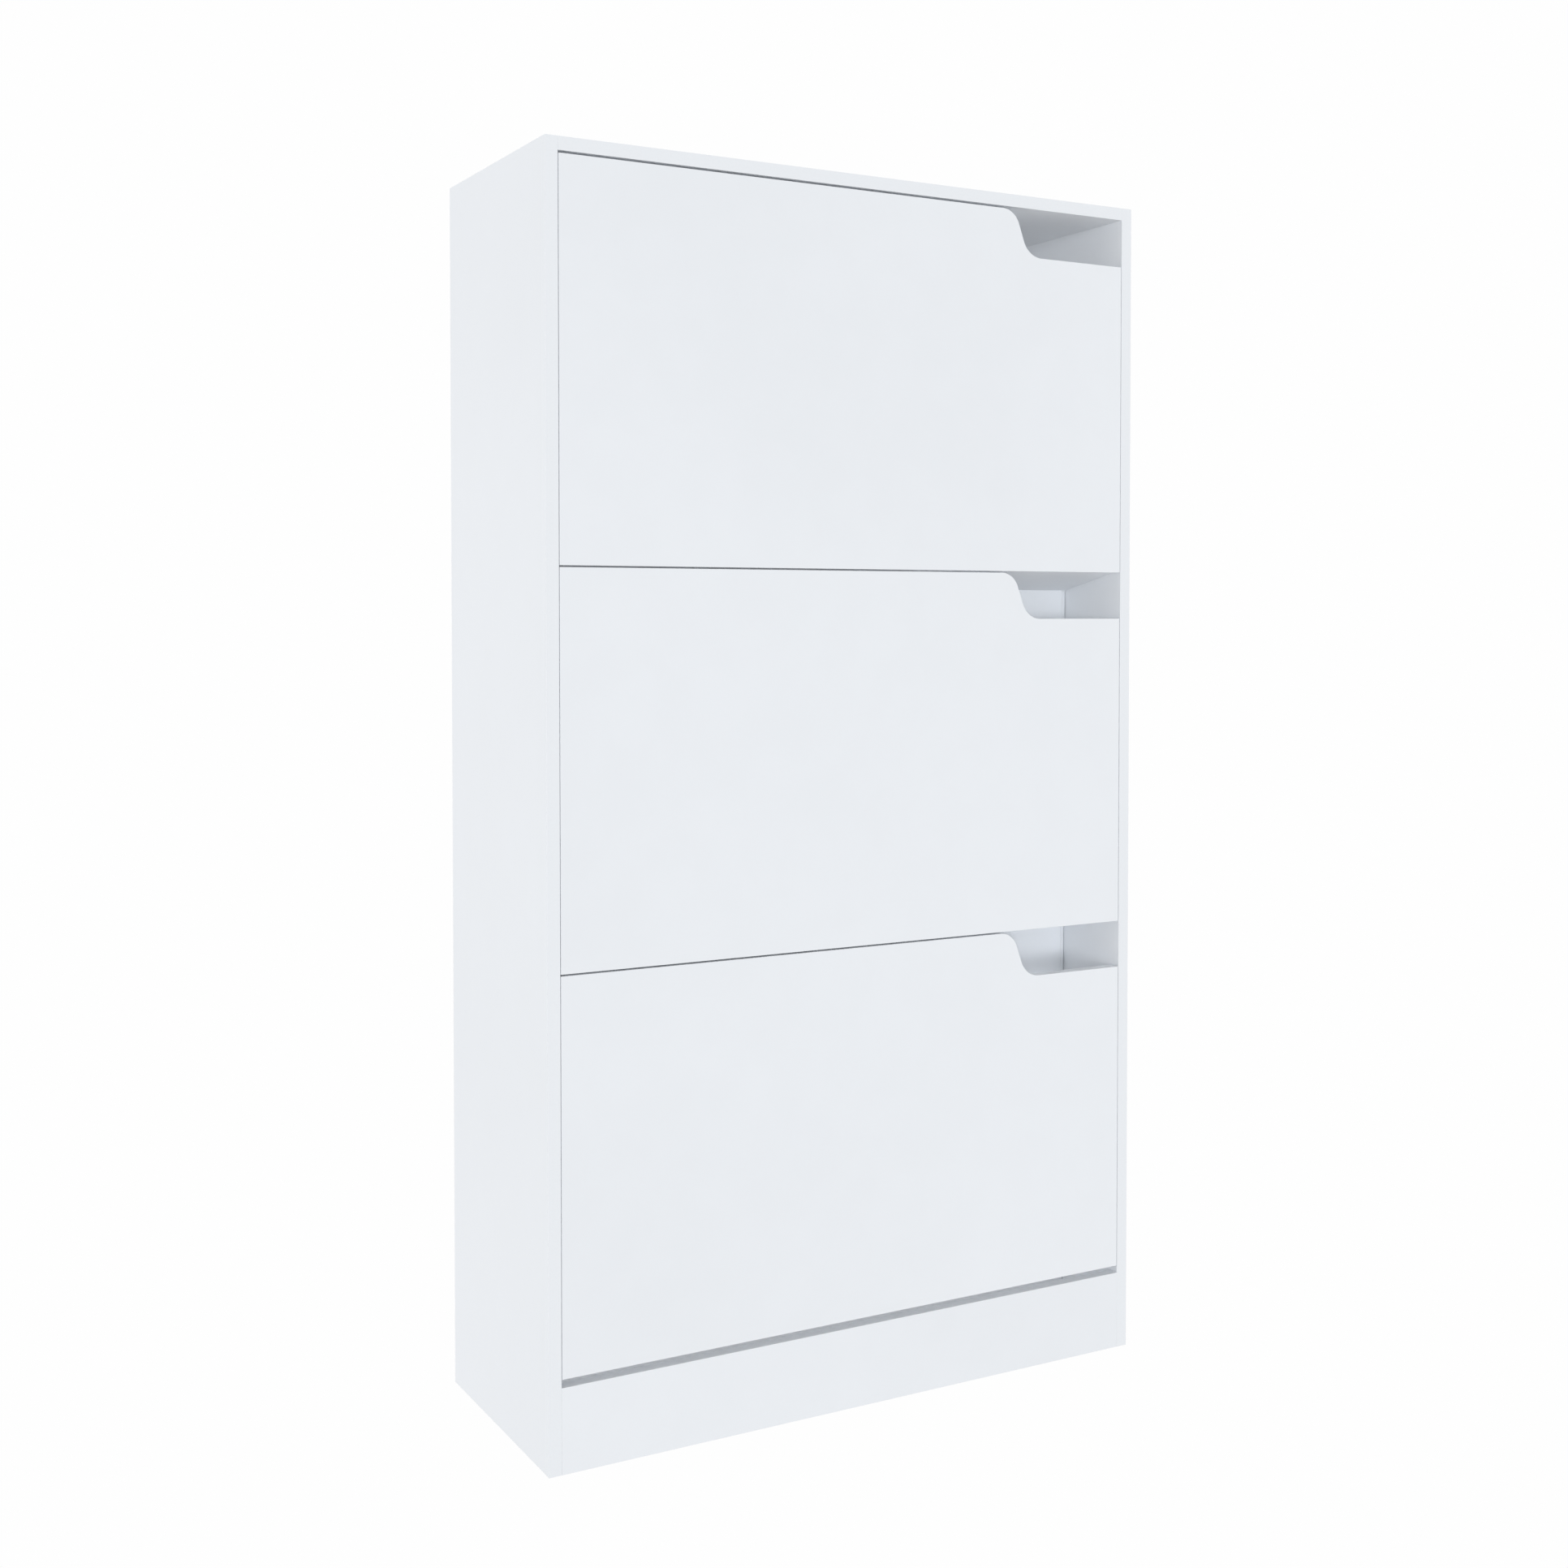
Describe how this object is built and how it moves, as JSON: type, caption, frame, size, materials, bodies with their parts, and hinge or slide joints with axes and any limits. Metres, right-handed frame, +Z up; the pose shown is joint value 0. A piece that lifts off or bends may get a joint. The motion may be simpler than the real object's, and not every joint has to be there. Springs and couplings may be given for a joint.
{
  "type": "shoe cabinet",
  "caption": "Tall narrow free-standing cabinet with stacked inset tilt-out doors, each with a hand notch in its top corner and a two-row shoe bin behind it.",
  "frame": {"origin": "middle of the footprint on the floor", "axes": "+Z up, the doors face -Y, +X to the right as seen from the front"},
  "size_m": [0.63, 0.24, 1.15],
  "materials": {
    "white_board": "white melamine-faced particle board, satin with a very fine grain",
    "hardboard": "brown hardboard sheet, white on the inner face",
    "white_plastic": "white moulded plastic, satin",
    "steel": "zinc-plated steel",
    "zinc": "die-cast zinc",
    "beech": "fluted beech dowel"
  },
  "bodies": {
    "cabinet": {"side_left": "white_board", "side_right": "white_board", "top_panel": "white_board", "plinth_front": "white_board", "rail_bottom_rear": "white_board", "rail_top_rear": "white_board", "back_sheet_lower": "hardboard", "back_sheet_upper": "hardboard", "back_joint_strip": "white_plastic", "cam_locks": "zinc", "cam_bolts": "steel", "wood_dowels": "beech", "back_nails": "steel", "pivot_bushings": "white_plastic", "stop_pegs": "white_plastic"},
    "flap_bottom": {"door_bottom": "white_board", "front_floor_bottom": "white_board", "divider_bottom": "white_board", "rear_floor_bottom": "white_board", "bin_back_bottom": "hardboard", "bracket_left_bottom": "white_plastic", "bracket_right_bottom": "white_plastic", "bracket_screws_bottom": "steel", "bin_nails_bottom": "steel", "pivot_pins_bottom": "steel"},
    "flap_middle": {"door_middle": "white_board", "front_floor_middle": "white_board", "divider_middle": "white_board", "rear_floor_middle": "white_board", "bin_back_middle": "hardboard", "bracket_left_middle": "white_plastic", "bracket_right_middle": "white_plastic", "bracket_screws_middle": "steel", "bin_nails_middle": "steel", "pivot_pins_middle": "steel"},
    "flap_top": {"door_top": "white_board", "front_floor_top": "white_board", "divider_top": "white_board", "rear_floor_top": "white_board", "bin_back_top": "hardboard", "bracket_left_top": "white_plastic", "bracket_right_top": "white_plastic", "bracket_screws_top": "steel", "bin_nails_top": "steel", "pivot_pins_top": "steel"}
  },
  "joints": [
    {"name": "tilt_bottom", "type": "hinge", "parent": "cabinet", "child": "flap_bottom", "pos_m": [0, -0.114, 0.1032], "axis": [1, 0, 0], "range_deg": [0, 50]},
    {"name": "tilt_middle", "type": "hinge", "parent": "cabinet", "child": "flap_middle", "pos_m": [0, -0.114, 0.4546], "axis": [1, 0, 0], "range_deg": [0, 50]},
    {"name": "tilt_top", "type": "hinge", "parent": "cabinet", "child": "flap_top", "pos_m": [0, -0.114, 0.806], "axis": [1, 0, 0], "range_deg": [0, 50]}
  ]
}
